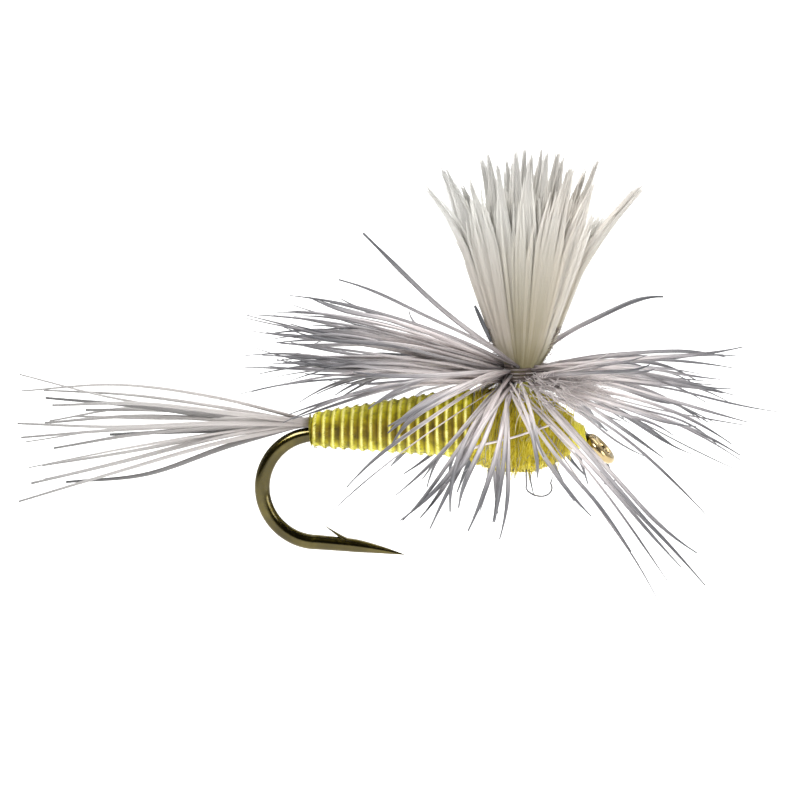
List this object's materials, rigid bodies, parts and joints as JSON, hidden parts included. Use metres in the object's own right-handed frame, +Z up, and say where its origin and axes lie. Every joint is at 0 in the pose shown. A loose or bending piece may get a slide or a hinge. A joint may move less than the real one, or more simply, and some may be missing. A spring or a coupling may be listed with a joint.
{
  "type": "parachute dry fly",
  "caption": "Parachute mayfly dry fly on a barbed down-eye hook: fibre tail, ribbed yellow body, dubbed thorax, white upright wing and dun hackle wound flat round the wing post.",
  "frame": {"origin": "middle of the hook eye's hole", "axes": "+X forward along the hook shank past the eye, +Z up towards the wing, +Y to the fly's left seen from behind"},
  "size_m": [0.0319, 0.0202, 0.0164],
  "materials": {
    "bronzed_wire": "bronzed and lacquered",
    "tying_thread": "waxed thread",
    "body_floss": "floss",
    "body_biot": "dyed feather strand, satin",
    "thorax_dubbing": "loose dubbed fur",
    "wing_fibre": "white feather fibre",
    "hackle_stem": "feather quill, satin",
    "hackle_barb": "dun feather barb, satin",
    "tail_fibre": "dun feather barb, satin"
  },
  "bodies": {
    "tied_hook": {"hook": "bronzed_wire", "shank_thread_base": "tying_thread", "tail_butts": "tail_fibre", "tail_lashing": "tying_thread", "abdomen_underbody": "body_floss", "abdomen_biot": "body_biot", "wing_post_base": "wing_fibre", "butt_lashing": "tying_thread", "post_wraps": "tying_thread", "thorax_dubbing_rear": "thorax_dubbing", "thorax_dubbing_front": "thorax_dubbing", "hackle_stem": "hackle_stem", "head_thread_layers": "tying_thread", "whip_finish": "tying_thread", "hackle_barbs_turn_1": "hackle_barb", "hackle_barbs_turn_2": "hackle_barb", "hackle_barbs_turn_3": "hackle_barb", "hackle_barbs_turn_4": "hackle_barb", "hackle_barbs_turn_5": "hackle_barb"},
    "wing": {"wing_core_tufts": "wing_fibre", "wing_outer_tufts": "wing_fibre"},
    "tail": {"tail_fibres": "tail_fibre"}
  },
  "joints": [
    {"name": "wing_bend", "type": "hinge", "parent": "tied_hook", "child": "wing", "pos_m": [-0.00325, 0, 0.00347], "axis": [0, 1, 0], "range_deg": [-20, 20], "stiffness_Nm_per_rad": 0.00005},
    {"name": "tail_flex", "type": "hinge", "parent": "tied_hook", "child": "tail", "pos_m": [-0.01192, 0, 0.00084], "axis": [0, 1, 0], "range_deg": [-10, 25], "stiffness_Nm_per_rad": 0.000005}
  ]
}
